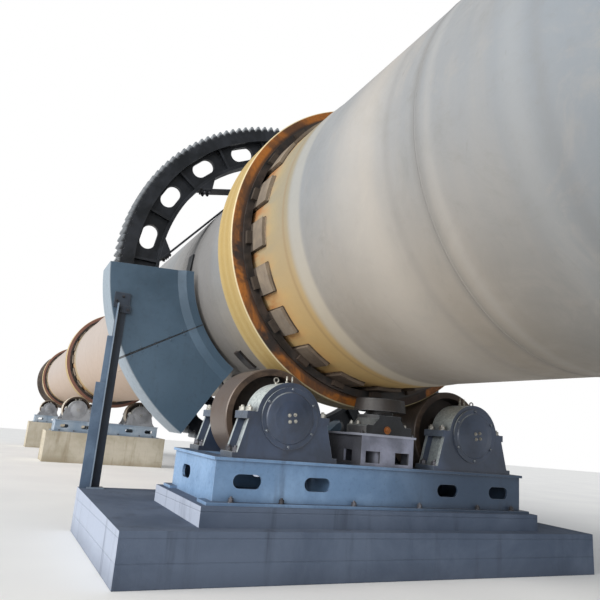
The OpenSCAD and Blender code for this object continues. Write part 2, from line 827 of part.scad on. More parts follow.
module pier_1() {
    bed = frame_foot + 50;
    near = level_x(pier_1_near, pier_1_top);
    far = level_x(pier_1_far, pier_1_top);
    drive_end = level_x(drive_far, pier_1_top);
    color("silver") {
        pier_block(near, far, -pier_1_half, pier_1_half, pier_1_top);
        pier_block(near, drive_end, -pier_1_half, drive_inner_y, pier_1_top);
        sloped() box([-frame_w / 2 - bed, -frame_l / 2 - bed, pier_1_top - 20],
            [frame_w / 2 + bed, frame_l / 2 + bed, frame_bottom]);
    }
}

module pier(i) {
    middle = level_x(tyre_x[i], frame_bottom);
    color("darkkhaki")
        pier_block(middle - pier_half_l, middle + pier_half_l, -pier_half, pier_half, frame_bottom);
}

shell();
brick_lining();
discharge_end_ring();
feed_end_ring();
tyre(0);  // tyre_1
tyre(1);  // tyre_2
tyre(2);  // tyre_3
tyre_pads(0);  // tyre_pads_1
tyre_pads(1);  // tyre_pads_2
tyre_pads(2);  // tyre_pads_3
stop_rings(0);  // stop_rings_1
stop_rings(1);  // stop_rings_2
stop_rings(2);  // stop_rings_3
girth_gear();
spring_plates();
pinion();
roller(0, 1);  // roller_1_left
roller(0, -1);  // roller_1_right
roller(1, 1);  // roller_2_left
roller(1, -1);  // roller_2_right
roller(2, 1);  // roller_3_left
roller(2, -1);  // roller_3_right
thrust_roller();
roller_bearings(0);  // roller_bearings_1
roller_bearings(1);  // roller_bearings_2
roller_bearings(2);  // roller_bearings_3
bearing_covers(0);  // bearing_covers_1
bearing_covers(1);  // bearing_covers_2
bearing_covers(2);  // bearing_covers_3
base_frame(0);  // base_frame_1
base_frame(1);  // base_frame_2
base_frame(2);  // base_frame_3
thrust_stand();
guard_segment(-guard_top_a - guard_step_a);  // guard_left_upper
guard_segment(guard_lower_a);  // guard_left_lower
guard_segment(-180 + guard_top_a);  // guard_right_upper
guard_posts();
pinion_bearings();
pinion_stand();
gear_reducer();
drive_motor();
pier_1();
pier(1);  // pier_2
pier(2);  // pier_3
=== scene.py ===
import json
import math

import bmesh
import bpy
from mathutils import Matrix, Vector


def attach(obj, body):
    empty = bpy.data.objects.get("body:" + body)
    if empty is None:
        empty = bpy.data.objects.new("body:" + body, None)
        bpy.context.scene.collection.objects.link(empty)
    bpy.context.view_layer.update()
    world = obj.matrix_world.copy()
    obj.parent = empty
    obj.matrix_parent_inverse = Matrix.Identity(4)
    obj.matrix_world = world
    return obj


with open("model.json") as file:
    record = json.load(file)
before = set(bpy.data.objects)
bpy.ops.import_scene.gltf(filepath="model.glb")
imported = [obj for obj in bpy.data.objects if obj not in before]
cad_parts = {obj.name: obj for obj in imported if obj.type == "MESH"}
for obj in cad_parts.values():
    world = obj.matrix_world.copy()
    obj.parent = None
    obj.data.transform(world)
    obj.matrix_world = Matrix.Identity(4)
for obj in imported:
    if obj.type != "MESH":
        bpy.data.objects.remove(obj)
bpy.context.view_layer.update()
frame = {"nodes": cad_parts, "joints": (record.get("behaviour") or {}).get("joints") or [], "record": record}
nodes = frame["nodes"]
joints = {joint["name"]: joint for joint in frame["joints"]}

# The kiln's own frame: X climbs along its axis from the middle of the first riding ring
axis_x = Vector(joints["drum_spin"]["axis"]).normalized()
axis_y = Vector((0, 1, 0))
axis_z = axis_x.cross(axis_y)
origin = Vector(joints["drum_spin"]["pos_m"])
KILN = Matrix.Translation(origin) @ Matrix((axis_x, axis_y, axis_z)).transposed().to_4x4()
TO_KILN = KILN.inverted()


def joint_place(name):
    """Where a joint sits in the kiln's own frame"""
    return TO_KILN @ Vector(joints[name]["pos_m"])


stations = [joint_place(f"roller_{number}_left_spin").x for number in (1, 2, 3)]
roller_at = joint_place("roller_1_left_spin")
thrust_at = joint_place("thrust_roller_spin")
pinion_at = joint_place("pinion_spin")

# The drum's sizes in metres, as the CAD has them
shell_r = 1.25
bore_r = 1.0477
near_x = -5.0
far_x = 30.4
station_r = 1.262
station_half = 0.905
station_taper = 0.21
tyre_r = 1.45
tyre_half = 0.175
pad_half = 0.475
pad_count = 21
pad_first = math.radians(5.8)
pad_angle = math.radians(10.62)

# The gear, its spring plates and its guard
gear_x = pinion_at.x
gear_half = 0.12
gear_tip_r = 2.1
gear_joints = (math.radians(-17.2), math.radians(162.8))
spring_in = 1.2503
spring_count = 10
spring_first = math.radians(4.8)
guard_x0 = 1.472
guard_out = 2.18
guard_joint = math.radians(-30)

# The stations: roller bearings, base frames and the thrust roller's stand
bearing_out = 0.545
bearing_w = 0.26
bearing_h = 0.317
bearing_middle = bearing_out - bearing_w / 2
cap_r = 0.272
cover_t = 0.014
cover_bulge = 0.052
frame_half_x = 0.55
frame_foot = 0.06
frame_plate = 0.022
frame_h = 0.33
frame_top = roller_at.z - bearing_h
frame_bottom = frame_top - frame_h
stand_rise = 0.256
stand_top = frame_top + stand_rise
stand_half_y = 0.26
flange_r = 0.275
flange_rise = 0.074
flange_top = stand_top + flange_rise
flange_front = -0.55

# The drive, in line from the gear to the motor
block_gap = 0.09
block_w = 0.2
coupling_gap = 0.07
coupling_l = 0.3
reducer_gap = 0.06
reducer_x = gear_x + gear_half + block_gap + block_w + coupling_gap + coupling_l + reducer_gap
reducer_l = 0.9
reducer_case_r = 0.33
reducer_low_y = -0.61
reducer_high_y = 0.38
motor_gap = 0.26
motor_aside = 0.33
motor_at = Vector((reducer_x + reducer_l + motor_gap, pinion_at.y - motor_aside, pinion_at.z))
motor_r = 0.21
motor_l = 0.72

# Shell plates are welded end to end from this seam on
seam_x = -2.42
plate_l = 2.3

# Both signs, and both signs of two directions
SIDES = (-1, 1)
CORNERS = [(one, two) for one in SIDES for two in SIDES]


# Materials

# Where the castings get dusty and where the window light is painted on them: up and to the left
DUSTY_AND_LIT_SIDE = (0, 0.55, 0.835)
UP = (0, 0, 1)
LEFT = (0, 1, 0)


def rgb(red, green, blue):
    """A screen colour of 0 to 255 as a linear colour"""
    def linear(value):
        value = value / 255
        return value / 12.92 if value <= 0.04045 else ((value + 0.055) / 1.055) ** 2.4
    return (linear(red), linear(green), linear(blue), 1)


class Look:
    """Builds one node material"""

    def __init__(self, name, metallic=0.0, specular=0.5):
        self.material = bpy.data.materials.new(name)
        self.material.use_nodes = True
        self.tree = self.material.node_tree
        self.shader = self.tree.nodes["Principled BSDF"]
        self.shader.inputs["Metallic"].default_value = metallic
        self.shader.inputs["Specular IOR Level"].default_value = specular
        self.place = self.add("ShaderNodeTexCoord").outputs["Object"]

    def add(self, kind, **inputs):
        """A new node, with the inputs that are named, where _ stands for a space"""
        node = self.tree.nodes.new(kind)
        for name, value in inputs.items():
            self.put(node.inputs[name.replace("_", " ")], value)
        return node

    def put(self, socket, value):
        """Links an output to a socket, or sets its value"""
        if isinstance(value, bpy.types.NodeSocket):
            self.tree.links.new(value, socket)
        else:
            socket.default_value = value

    def math(self, operation, first, second=0.0, clamp=False):
        """The result of a math node on one or two values"""
        node = self.add("ShaderNodeMath")
        node.operation = operation
        node.use_clamp = clamp
        self.put(node.inputs[0], first)
        self.put(node.inputs[1], second)
        return node.outputs[0]

    def vector(self, operation, first, second):
        """The result of a vector math node on two vectors"""
        node = self.add("ShaderNodeVectorMath")
        node.operation = operation
        self.put(node.inputs[0], first)
        self.put(node.inputs[1], second)
        return node.outputs["Value" if operation == "DOT_PRODUCT" else "Vector"]

    def split(self, vector):
        """The x, y and z of a vector"""
        return self.add("ShaderNodeSeparateXYZ", Vector=vector).outputs[:3]

    def join(self, x, y, z):
        """A vector from its x, y and z"""
        return self.add("ShaderNodeCombineXYZ", X=x, Y=y, Z=z).outputs[0]

    def kiln(self):
        """Object coordinates turned into the kiln's own frame"""
        turned = self.add("ShaderNodeMapping", Vector=self.place)
        turned.vector_type = "POINT"
        turned.inputs["Location"].default_value = TO_KILN.to_translation()
        turned.inputs["Rotation"].default_value = TO_KILN.to_euler()
        return turned.outputs[0]

    def along(self, x):
        """Distance along the kiln from the nearest riding ring"""
        first, second, third = [self.away(x, place) for place in stations]
        return self.math("MINIMUM", first, self.math("MINIMUM", second, third))

    def away(self, value, middle):
        """Distance of a value from a middle"""
        return self.math("ABSOLUTE", self.math("SUBTRACT", value, middle))

    def radius(self, y, z):
        """The length of a y and a z taken together"""
        return self.math("SQRT", self.math("ADD", self.times(y, y), self.times(z, z)))

    def scaled(self, vector, scale):
        """A vector times a scale for each axis"""
        return self.vector("MULTIPLY", vector, scale)

    def noise(self, vector, scale, detail, rough, warp=0.0):
        """A cloudy height between 0 and 1"""
        node = self.add("ShaderNodeTexNoise", Vector=vector, Scale=scale, Detail=detail, Roughness=rough)
        node.inputs["Distortion"].default_value = warp
        return node.outputs["Fac"]

    def step(self, value, low, high, least=0.0, most=1.0):
        """Smooth step of a value from low to high, which gives least to most"""
        node = self.add(
            "ShaderNodeMapRange", Value=value, From_Min=low, From_Max=high, To_Min=least, To_Max=most)
        node.interpolation_type = "SMOOTHSTEP"
        return node.outputs["Result"]

    def mix(self, share, first, second):
        """Blends two colours by the second one's share"""
        node = self.add("ShaderNodeMix")
        node.data_type = "RGBA"
        colours = [socket for socket in node.inputs if socket.type == "RGBA"]
        self.put(node.inputs[0], share)
        self.put(colours[0], first)
        self.put(colours[1], second)
        return [socket for socket in node.outputs if socket.type == "RGBA"][0]

    def stain(self, colour, value, low, high, most, tint):
        """Tints a colour by up to a share, as a value goes from low to high"""
        return self.mix(self.step(value, low, high, 0, most), colour, tint)

    def band(self, value, middle, half):
        """1 at the middle, soft to 0 at half on both sides"""
        return self.step(self.away(value, middle), half, 0.0)

    def times(self, *shares):
        """The product of some shares"""
        product = shares[0]
        for share in shares[1:]:
            product = self.math("MULTIPLY", product, share)
        return product

    def facing(self, direction):
        """How far the faces look towards a direction of length 1"""
        normal = self.add("ShaderNodeNewGeometry").outputs["Normal"]
        return self.vector("DOT_PRODUCT", normal, direction)

    def corners(self):
        """Share of painted shade and soiling in the corners, 1 where they are closed"""
        node = self.add("ShaderNodeAmbientOcclusion", Distance=0.06)
        node.samples = 4
        return self.math("SUBTRACT", 1.0, node.outputs["AO"], clamp=True)

    def edges(self, radius):
        """Share of wear on the edges"""
        bevel = self.add("ShaderNodeBevel", Radius=radius)
        bevel.samples = 4
        flat = self.add("ShaderNodeNewGeometry").outputs["Normal"]
        return self.step(self.vector("DOT_PRODUCT", bevel.outputs[0], flat), 0.995, 0.9)

    def finish(self, colour, rough, heights=()):
        """Ends the material: heights are pairs of a height and its depth in metres"""
        self.put(self.shader.inputs["Base Color"], colour)
        self.put(self.shader.inputs["Roughness"], rough)
        normal = None
        for height, depth in heights:
            bump = self.add("ShaderNodeBump", Strength=1.0, Distance=depth, Height=height)
            if normal:
                self.put(bump.inputs["Normal"], normal)
            normal = bump.outputs[0]
        if normal:
            self.put(self.shader.inputs["Normal"], normal)
        return self.material


def plate_colour(look, place, x, lower, fine):
    """Neutral grey above, warmer and paler below, bluish at the discharge end, with painted shade between the
    first riding ring and the gear, and pinkish far off, paler there as painted light of the brighter far end
    """
    cloud = look.noise(place, 0.55, 5, 0.6, 0.4)
    bands = look.noise(look.scaled(place, (3.2, 0.35, 0.35)), 1.0, 4, 0.6)
    mottle = look.noise(place, 2.1, 9, 0.72, 0.9)
    scrape = look.noise(look.scaled(place, (9, 1.6, 1.6)), 1.0, 8, 0.72, 1.4)
    clouded = look.step(cloud, 0.36, 0.66)
    upper_plate = look.mix(clouded, rgb(124, 127, 130), rgb(137, 139, 141))
    lower_plate = look.mix(clouded, rgb(132, 124, 112), rgb(146, 137, 125))
    colour = look.mix(lower, upper_plate, lower_plate)
    colour = look.stain(colour, x, -2.2, -3.7, 0.8, rgb(121, 129, 137))
    colour = look.stain(colour, bands, 0.45, 0.75, 0.2, rgb(166, 156, 144))
    colour = look.stain(colour, fine, 0.56, 0.76, 0.2, rgb(122, 116, 110))
    colour = look.stain(colour, mottle, 0.5, 0.7, 0.3, rgb(117, 117, 112))
    colour = look.stain(colour, mottle, 0.48, 0.3, 0.25, rgb(158, 151, 142))
    colour = look.stain(colour, scrape, 0.62, 0.74, 0.4, rgb(104, 101, 97))
    # Painted shade on the shell between the first riding ring and the gear
    gear_shade = look.times(look.step(x, 0.7, 1.2), look.step(x, 3.4, 1.8), 0.6)
    colour = look.mix(gear_shade, colour, rgb(116, 113, 111))
    # Far off the plate turns pinkish and paler; the paleness is painted light of the brighter far end
    far_plate = look.mix(lower, rgb(172, 160, 152), rgb(182, 160, 142))
    return look.stain(colour, x, 3.0, 9.0, 0.85, far_plate)


def seam_stains(look, colour, x, near):
    """Dark lines at the round welds, partly painted shade of their ridge, painted highlights beside them,
    faint lines of painted shade from slight ripples, and a pale belt before the first ring
    """
    seam_half = 0.06
    belt_x = -1.86
    belt_half = 0.5
    seam = look.math("PINGPONG", look.math("ADD", x, -seam_x), plate_l / 2)
    open_plate = look.times(look.step(near, 1.15, 1.25), look.step(x, 3.0, 0.0, 0.2, 1.0))
    # A dark line at each round weld, partly the weld and partly painted shade of its ridge
    dark = look.times(look.band(seam, 0.0, seam_half), open_plate, 0.4)
    colour = look.mix(dark, colour, rgb(108, 106, 103))
    colour = look.mix(look.times(look.band(x, belt_x, belt_half), 0.4), colour, rgb(186, 178, 168))
    # Painted highlights beside the seam and beside the faint line before it
    pale = look.math("MAXIMUM", look.band(x, seam_x - 0.1, seam_half), look.band(x, seam_x - 0.66, 0.12))
    colour = look.mix(look.times(pale, 0.1), colour, rgb(190, 188, 184))
    # Faint lines of painted shade from slight ripples in the plate
    before = look.band(x, seam_x - 0.8, seam_half)
    after = look.band(x, seam_x + 0.26, seam_half)
    faint = look.math("MAXIMUM", after, before)
    return look.mix(look.times(faint, 0.2), colour, rgb(116, 114, 112))


def ring_stains(look, colour, place, x, near, lower):
    """Cream, yellow and rust by the rings, which at the first one lie on its discharge side, with painted
    shade in the fold where the taper starts and a painted highlight on the taper
    """
    streak = look.noise(look.scaled(place, (1.2, 4, 4)), 1.0, 4, 0.6)
    zone = look.math("MAXIMUM", look.step(x, 0.5, 0.26), look.step(x, 3.0, 5.0, 0, 0.8))
    tan = look.mix(lower, rgb(138, 130, 111), rgb(176, 147, 97))
    colour = look.mix(look.times(zone, look.step(near, 0.96, 0.86)), colour, tan)
    yellow = look.times(zone, look.step(near, 0.8, 0.5), look.step(streak, 0.35, 0.62), 0.6)
    colour = look.mix(yellow, colour, look.mix(lower, rgb(162, 144, 102), rgb(188, 150, 92)))
    peach = look.times(look.step(near, 0.62, 0.45), look.step(streak, 0.4, 0.56), zone, 0.36)
    colour = look.mix(peach, colour, rgb(176, 129, 86))
    rust = look.times(look.step(near, 0.5, 0.28), look.step(streak, 0.46, 0.58), 0.7)
    colour = look.mix(rust, colour, rgb(146, 90, 46))
    # Painted shade in the fold where the taper starts
    crease_shade = look.times(zone, look.band(near, 0.81, 0.035), 0.4)
    colour = look.mix(crease_shade, colour, rgb(132, 108, 78))
    # Painted highlight where the taper catches the light
    pale = look.times(zone, look.step(near, 0.85, 0.96), look.step(near, 1.1, 1.04), 0.7)
    return look.mix(pale, colour, look.mix(lower, rgb(152, 151, 146), rgb(184, 172, 152)))


def shell_look():
    """Heat-stained grey plate, cream and rusty towards the riding rings"""
    look = Look("shell_plate", specular=0.3)
    place = look.kiln()
    x, y, z = look.split(place)
    near = look.along(x)
    lower = look.step(z, 0.15, -1.2)
    fine = look.noise(place, 9, 6, 0.65)
    dents = look.noise(place, 1.1, 2, 0.5)
    colour = plate_colour(look, place, x, lower, fine)
    colour = seam_stains(look, colour, x, near)
    colour = ring_stains(look, colour, place, x, near, lower)
    return look.finish(colour, look.step(fine, 0.3, 0.8, 0.55, 0.75), [(dents, 0.02), (fine, 0.0015)])


def tyre_look():
    """Cream running surface, rusty sides with patches of black grease"""
    look = Look("riding_ring_steel", metallic=0.1, specular=0.4)
    place = look.kiln()
    x, y, z = look.split(place)
    radius = look.radius(y, z)
    across = look.along(x)
    patch = look.noise(place, 2.4, 6, 0.65, 0.7)
    fine = look.noise(place, 22, 6, 0.7)
    grease = look.noise(look.vector("ADD", place, (7, 3, 1)), 1.2, 5, 0.62, 0.6)
    lines = look.noise(look.join(look.times(across, 16), radius, 0.0), 1.0, 3, 0.6)
    side = look.mix(look.step(patch, 0.4, 0.58), rgb(88, 56, 31), rgb(158, 95, 32))
    side = look.stain(side, fine, 0.5, 0.75, 0.45, rgb(70, 46, 32))
    side = look.stain(side, grease, 0.52, 0.58, 0.94, rgb(36, 32, 31))
    side = look.stain(side, radius, 1.39, 1.365, 0.75, rgb(40, 33, 29))
    side = look.stain(side, x, 2.0, 6.0, 1.0, rgb(122, 84, 70))
    tread = look.mix(look.step(lines, 0.35, 0.65), rgb(168, 143, 88), rgb(176, 153, 102))
    tread = look.stain(tread, patch, 0.5, 0.75, 0.4, rgb(174, 146, 92))
    shoulder = look.step(across, tyre_half - 0.005, tyre_half - 0.017)
    rubbed = look.mix(shoulder, rgb(200, 186, 150), tread)
    colour = look.mix(look.step(radius, tyre_r - 0.012, tyre_r - 0.004), side, rubbed)
    return look.finish(colour, look.step(fine, 0.3, 0.75, 0.45, 0.7), [(fine, 0.0012)])


def pad_look():
    """Warm grey pads, dusty, with dark stop blocks and darker towards the bottom"""
    look = Look("pad_steel", specular=0.3)
    place = look.kiln()
    x, y, z = look.split(place)
    cloud = look.noise(place, 3.5, 5, 0.6, 0.3)
    fine = look.noise(place, 30, 5, 0.65)
    colour = look.mix(look.step(cloud, 0.35, 0.65), rgb(109, 99, 88), rgb(136, 123, 107))
    colour = look.stain(colour, fine, 0.55, 0.8, 0.4, rgb(112, 86, 60))
    colour = look.stain(colour, look.along(x), 0.285, 0.268, 0.85, rgb(46, 38, 33))
    # Darker towards the bottom of the kiln
    colour = look.stain(colour, z, -0.85, -1.2, 0.75, rgb(62, 50, 42))
    return look.finish(colour, look.step(fine, 0.3, 0.8, 0.55, 0.75), [(fine, 0.0012)])


def grease_look():
    """Black grease with rust in it"""
    look = Look("greased_steel")
    patch = look.noise(look.place, 6, 5, 0.6, 0.4)
    colour = look.mix(look.step(patch, 0.4, 0.65), rgb(30, 27, 26), rgb(58, 48, 42))
    return look.finish(colour, look.step(patch, 0.3, 0.7, 0.35, 0.65), [(patch, 0.003)])


def roller_look():
    """Rolled tread, brown face ring, painted shade darkening the recessed middle, and a paler tread far off
    as painted light of the brighter far end
    """
    look = Look("roller_steel", metallic=0.25)
    place = look.kiln()
    x, y, z = look.split(place)
    from_y = look.math("SUBTRACT", look.math("ABSOLUTE", y), roller_at.y)
    radius = look.radius(from_y, look.math("SUBTRACT", z, roller_at.z))
    depth = look.along(x)
    lines = look.noise(look.join(look.times(depth, 90), look.times(radius, 90), 0.0), 1.0, 3, 0.6)
    patch = look.noise(place, 7, 5, 0.6, 0.3)
    on_tread = look.step(radius, 0.388, 0.394)
    tread = look.mix(look.step(lines, 0.35, 0.68), rgb(92, 82, 76), rgb(113, 101, 93))
    tread = look.stain(tread, patch, 0.5, 0.75, 0.5, rgb(96, 79, 66))
    # Far off the tread turns pale as painted light of the brighter far end
    tread = look.stain(tread, x, 2.0, 6.0, 0.8, rgb(206, 194, 176))
    face = look.mix(look.step(patch, 0.38, 0.62), rgb(62, 50, 43), rgb(88, 72, 60))
    colour = look.mix(on_tread, face, tread)
    # Painted shade darkens the recessed middle of the face
    recess_shade = look.times(look.step(radius, 0.345, 0.335), look.step(depth, 0.215, 0.18), 0.8)
    colour = look.mix(recess_shade, colour, rgb(46, 43, 41))
    rough = look.step(radius, 0.388, 0.394, 0.62, 0.36)
    return look.finish(colour, rough, [(lines, 0.0005), (patch, 0.001)])


def gear_look():
    """Nearly black greased gear, with the tooth tips rubbed bright and lighter still as a painted highlight
    """
    look = Look("gear_steel", metallic=0.3)
    place = look.kiln()
    x, y, z = look.split(place)
    radius = look.radius(y, z)
    patch = look.noise(place, 3.2, 6, 0.62, 0.4)
    fine = look.noise(place, 28, 5, 0.65)
    colour = look.mix(look.step(patch, 0.36, 0.62), rgb(25, 28, 32), rgb(43, 46, 52))
    colour = look.stain(colour, fine, 0.55, 0.8, 0.4, rgb(62, 54, 46))
    # Tooth tips rubbed bright, and lighter still as a painted highlight of the window light
    colour = look.stain(colour, radius, gear_tip_r - 0.05, gear_tip_r - 0.015, 0.85, rgb(158, 163, 168))
    colour = look.mix(look.times(look.edges(0.008), 0.25), colour, rgb(110, 112, 114))
    return look.finish(colour, look.step(patch, 0.3, 0.7, 0.36, 0.56), [(fine, 0.001), (patch, 0.002)])


def paint_look(name, dark, light, rust=0.3, grime_and_shade=0.5, gloss=0.42, scale=1.0,
               drips=0.0, dust_and_light=0.0, touch=None, sheen=0.45):
    """Oil paint on steel plate: clouded, rubbed at the edges, dirty and darkened by painted shade in the
    corners, dusty on top and to the left with a painted highlight of the window light there
    """
    look = Look(name, specular=sheen)
    place = look.place
    dirt_and_shade = rgb(52, 48, 48)
    cloud = look.noise(place, 1.3 * scale, 5, 0.6, 0.3)
    fine = look.noise(place, 24 * scale, 6, 0.65)
    runs = look.noise(look.scaled(place, (9, 9, 0.9)), 1.0, 4, 0.6)
    chips = look.noise(place, 11 * scale, 8, 0.75, 0.6)
    colour = look.mix(look.step(cloud, 0.34, 0.66), dark, light)
    if touch:
        colour = touch(look, colour, cloud)
    colour = look.stain(colour, fine, 0.5, 0.85, 0.28, dirt_and_shade)
    colour = look.stain(colour, runs, 0.56, 0.8, drips, dirt_and_shade)
    colour = look.stain(colour, chips, 0.64, 0.69, rust, rgb(104, 66, 42))
    # Pale dusty film and a painted highlight of the window light on faces that look up and to the left
    dusty_and_lit = look.step(look.facing(DUSTY_AND_LIT_SIDE), 0.45, 0.9)
    dusty_and_lit = look.times(dusty_and_lit, look.step(fine, 0.75, 0.3, 0.45, 1.0), dust_and_light)
    colour = look.mix(dusty_and_lit, colour, rgb(190, 198, 196))
    # Soiling and painted shade in the closed corners
    colour = look.mix(look.times(look.corners(), grime_and_shade), colour, dirt_and_shade)
    worn = look.times(look.edges(0.005), look.step(fine, 0.35, 0.6), 0.6)
    colour = look.mix(worn, colour, rgb(140, 144, 150))
    rough = look.step(fine, 0.3, 0.8, gloss, gloss + 0.22)
    return look.finish(colour, rough, [(cloud, 0.003), (fine, 0.0006)])


def guard_touch(look, colour, cloud):
    """The dark joint of the guard's segments with painted shade under its lip, a painted highlight on the
    outer face and a paler lower end
    """
    x, y, z = look.split(look.kiln())
    radius = look.radius(y, z)
    colour = look.stain(colour, z, -0.35, -1.25, 0.38, rgb(104, 128, 148))
    # Painted highlight of the light behind, on the guard's outer face
    colour = look.stain(colour, radius, guard_out - 0.012, guard_out - 0.004, 0.75, rgb(156, 168, 178))
    # The dark joint of the segments, widened by painted shade under its lip
    away = look.away(look.math("ARCTAN2", z, y), guard_joint)
    return look.stain(colour, away, 0.006, 0.004, 1.0, rgb(22, 26, 31))


def frame_touch(look, colour, cloud):
    """Darker paint on top, and painted shade towards the side away from the windows"""
    x, y, z = look.split(look.kiln())
    # Darker on the faces that look up
    colour = look.stain(colour, look.facing(UP), 0.5, 0.95, 0.8, rgb(50, 60, 80))
    # Painted shade towards the side away from the windows
    return look.stain(colour, y, 0.6, -0.7, 0.9, rgb(46, 59, 77))


def post_touch(look, colour, cloud):
    """Painted shade on the angle's back leg and on the clip, and a painted highlight on its front edge"""
    x, y, z = look.split(look.kiln())
    # Painted shade on the back leg and the clip
    colour = look.stain(colour, x, guard_x0 - 0.07, guard_x0 - 0.045, 0.85, rgb(40, 45, 54))
    # Painted highlight on the front edge
    return look.stain(colour, x, guard_x0 - 0.094, guard_x0 - 0.099, 0.6, rgb(158, 174, 188))


def thrust_touch(look, colour, cloud):
    """Clean grey-lavender box with a pale top edge and painted shade on its faces that look left, below the
    dark bearing housing
    """
    x, y, z = look.split(look.kiln())
    plate_low = stand_top - 0.022
    box = look.mix(look.step(cloud, 0.34, 0.66), rgb(98, 101, 114), rgb(134, 137, 154))
    colour = look.stain(colour, z, stand_top + 0.004, stand_top - 0.004, 1.0, box)
    # Painted shade on the faces that look left
    colour = look.stain(colour, look.facing(LEFT), 0.6, 0.9, 0.8, rgb(44, 44, 46))
    edge = look.times(look.step(z, plate_low, plate_low + 0.008), look.step(z, stand_top + 0.004, stand_top))
    return look.mix(look.times(edge, 0.5), colour, rgb(168, 172, 186))


def concrete_look(name, dark, light, stain, window_side_light=0.0):
    """Cast concrete with form-board lines, pores, a damp foot and a painted highlight of the window light on
    the side towards the windows
    """
    look = Look(name, specular=0.25)
    place = look.place
    board_h = 0.15
    x, y, z = look.split(place)
    cloud = look.noise(place, 1.1, 6, 0.62, 0.4)
    pores = look.noise(place, 42, 6, 0.75)
    runs = look.noise(look.scaled(place, (5, 5, 0.5)), 1.0, 5, 0.65)
    colour = look.mix(look.step(cloud, 0.34, 0.66), dark, light)
    # Painted highlight of the window light on the faces that look left
    colour = look.stain(colour, look.facing(LEFT), 0.7, 0.95, window_side_light, rgb(186, 194, 210))
    colour = look.stain(colour, runs, 0.52, 0.72, 0.55, stain)
    colour = look.stain(colour, pores, 0.6, 0.78, 0.5, stain)
    colour = look.stain(colour, look.math("ADD", z, look.times(cloud, 0.2)), 0.32, 0.06, 0.45, stain)
    boards = look.step(look.math("PINGPONG", z, board_h / 2), 0.0, 0.006)
    return look.finish(colour, 0.85, [(boards, 0.003), (pores, 0.003), (cloud, 0.01)])


def brick_look():
    """Fire bricks laid in rings, with mortar joints"""
    look = Look("lining_brick", specular=0.2)
    place = look.kiln()
    x, y, z = look.split(place)
    arc = look.times(look.math("ARCTAN2", z, y), bore_r)
    brick = look.add(
        "ShaderNodeTexBrick", Vector=look.join(arc, x, 0.0), Scale=1.0,
        Color1=rgb(158, 118, 96), Color2=rgb(186, 152, 126), Mortar=rgb(96, 82, 74),
        Mortar_Size=0.003, Brick_Width=0.103, Row_Height=0.198)
    patch = look.noise(place, 2.2, 6, 0.65, 0.4)
    colour = look.stain(brick.outputs["Color"], patch, 0.45, 0.7, 0.7, rgb(112, 96, 88))
    return look.finish(colour, 0.9, [(brick.outputs["Fac"], -0.004), (patch, 0.01)])


def bolt_look(name, dark, light):
    """Bare or rusty steel of bolts and welds"""
    look = Look(name, metallic=0.6)
    fine = look.noise(look.place, 60, 4, 0.6)
    cloud = look.noise(look.place, 5, 3, 0.6)
    colour = look.mix(look.step(cloud, 0.4, 0.6), dark, light)
    colour = look.stain(colour, fine, 0.5, 0.7, 0.5, rgb(74, 62, 54))
    return look.finish(colour, look.step(fine, 0.3, 0.7, 0.35, 0.6), [(fine, 0.0008)])


# Each paint's dark and light colour, and its wear
paints = {
    "ring_steel": dict(
        dark=rgb(74, 67, 62), light=rgb(104, 94, 86),
        rust=0.6),
    "housing_paint": dict(
        dark=rgb(40, 50, 67), light=rgb(58, 71, 94),
        rust=0.2, gloss=0.28, drips=0.4, dust_and_light=1.0, scale=2, sheen=0.7),
    # Paler copy of the housing paint for the far stations: painted light of the brighter far end
    "far_lit_housing": dict(
        dark=rgb(118, 120, 125), light=rgb(148, 151, 156),
        rust=0.2, drips=0.3, dust_and_light=0.6, scale=2),
    "thrust_steel": dict(
        dark=rgb(19, 20, 22), light=rgb(35, 37, 41),
        rust=0.4, drips=0.5, dust_and_light=0.12, scale=3, touch=thrust_touch),
    "thrust_wheel": dict(
        dark=rgb(31, 28, 27), light=rgb(45, 41, 39),
        rust=0.5, drips=0.5, scale=3),
    "frame_paint": dict(
        dark=rgb(102, 132, 166), light=rgb(128, 158, 192),
        rust=0.2, gloss=0.34, drips=0.35, scale=1.5, touch=frame_touch),
    # Paler copy of the frame paint for the far stations: painted light of the brighter far end
    "far_lit_frame": dict(
        dark=rgb(128, 147, 167), light=rgb(164, 176, 187),
        rust=0.2, drips=0.4, scale=1.5),
    "post_steel": dict(
        dark=rgb(82, 100, 122), light=rgb(106, 126, 148),
        rust=0.3, gloss=0.34, scale=2, touch=post_touch),
    "guard_paint": dict(
        dark=rgb(61, 81, 97), light=rgb(77, 98, 116),
        rust=0.1, grime_and_shade=0.2, gloss=0.36, drips=0.2, touch=guard_touch),
    "drive_paint": dict(
        dark=rgb(66, 88, 106), light=rgb(90, 112, 130),
        rust=0.2, drips=0.4),
}

looks = {
    "shell_plate": shell_look(),
    "lining_brick": brick_look(),
    "pad_steel": pad_look(),
    "riding_ring_steel": tyre_look(),
    "greased_steel": grease_look(),
    "gear_steel": gear_look(),
    "roller_steel": roller_look(),
    "pier_concrete": concrete_look(
        "pier_concrete", rgb(73, 84, 102), rgb(92, 103, 121), rgb(59, 65, 77), window_side_light=0.6),
    "plinth_concrete": concrete_look(
        "plinth_concrete", rgb(168, 160, 142), rgb(190, 183, 168), rgb(128, 115, 90)),
    "bright_bolt": bolt_look("bright_bolt", rgb(140, 138, 132), rgb(182, 180, 172)),
    "dark_bolt": bolt_look("dark_bolt", rgb(56, 56, 60), rgb(92, 92, 98)),
    "rusty_bolt": bolt_look("rusty_bolt", rgb(140, 88, 48), rgb(176, 116, 62)),
    "weld": bolt_look("weld", rgb(78, 66, 54), rgb(112, 96, 78)),
}
looks.update({name: paint_look(name, **values) for name, values in paints.items()})

slots = {entry["node"]: entry["material_slot"] for entry in frame["record"]["subparts"]}
